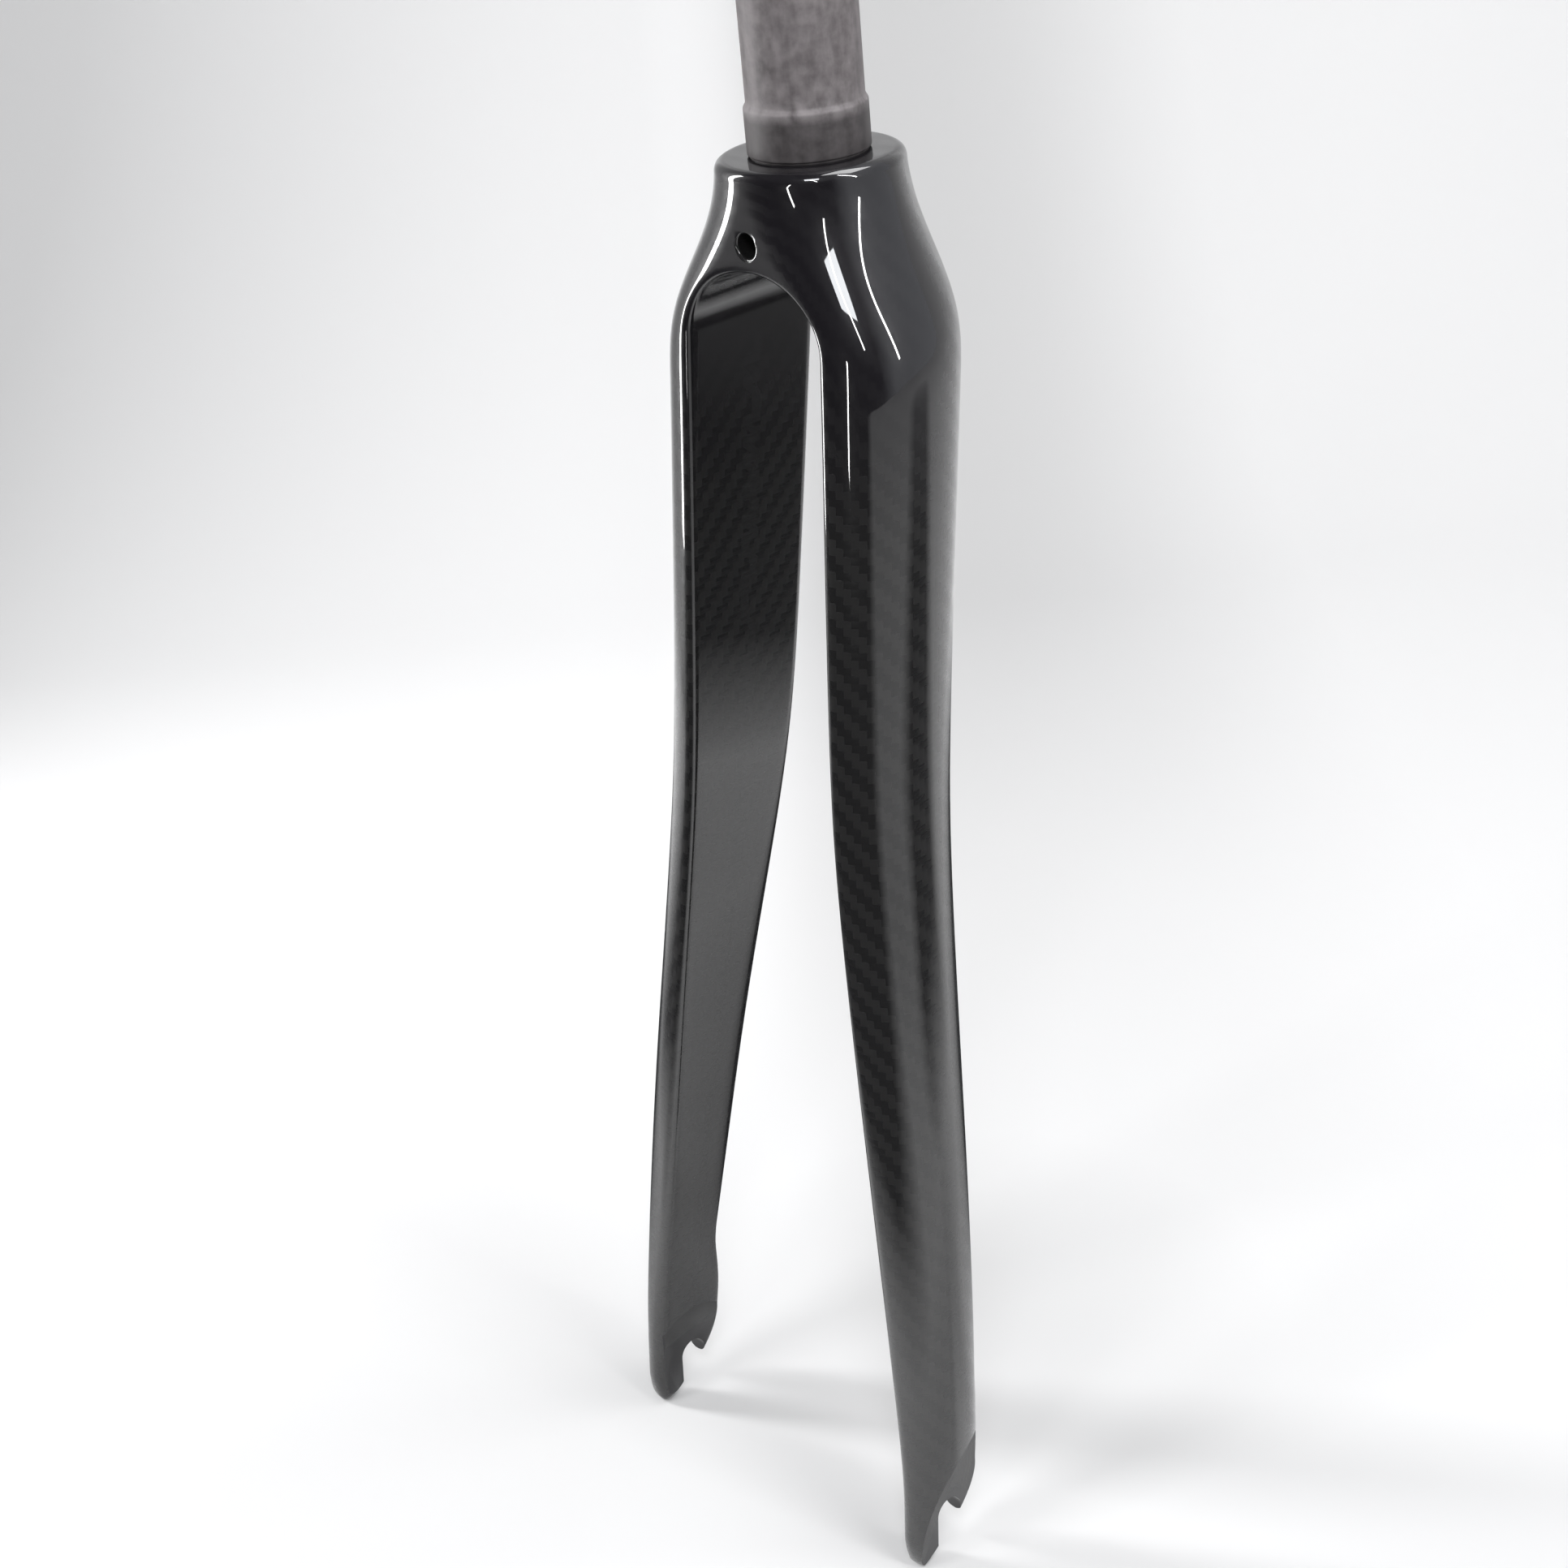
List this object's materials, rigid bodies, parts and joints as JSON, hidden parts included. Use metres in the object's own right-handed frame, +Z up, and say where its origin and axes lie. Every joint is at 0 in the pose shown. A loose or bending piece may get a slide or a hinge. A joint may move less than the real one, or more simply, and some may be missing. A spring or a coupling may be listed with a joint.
{
  "type": "bicycle fork",
  "caption": "Rigid road fork with a plain round steerer, a glossy one-piece crown with straight forward-leaning blades, and open slotted dropouts for a quick-release hub.",
  "frame": {"origin": "where the steerer's axis meets the flat top of the crown, at the foot of the crown race seat", "axes": "+Z up the steerer, -Y forward, to the side of the brake bolt, X across the wheel"},
  "size_m": [0.1228, 0.0796, 0.6759],
  "materials": {
    "steerer": "raw sanded carbon fibre, matte grey-brown",
    "crown_and_blades": "black woven carbon fibre under clear lacquer"
  },
  "bodies": {
    "root": {"steerer": "steerer", "crown_and_blades": "crown_and_blades"}
  },
  "joints": []
}
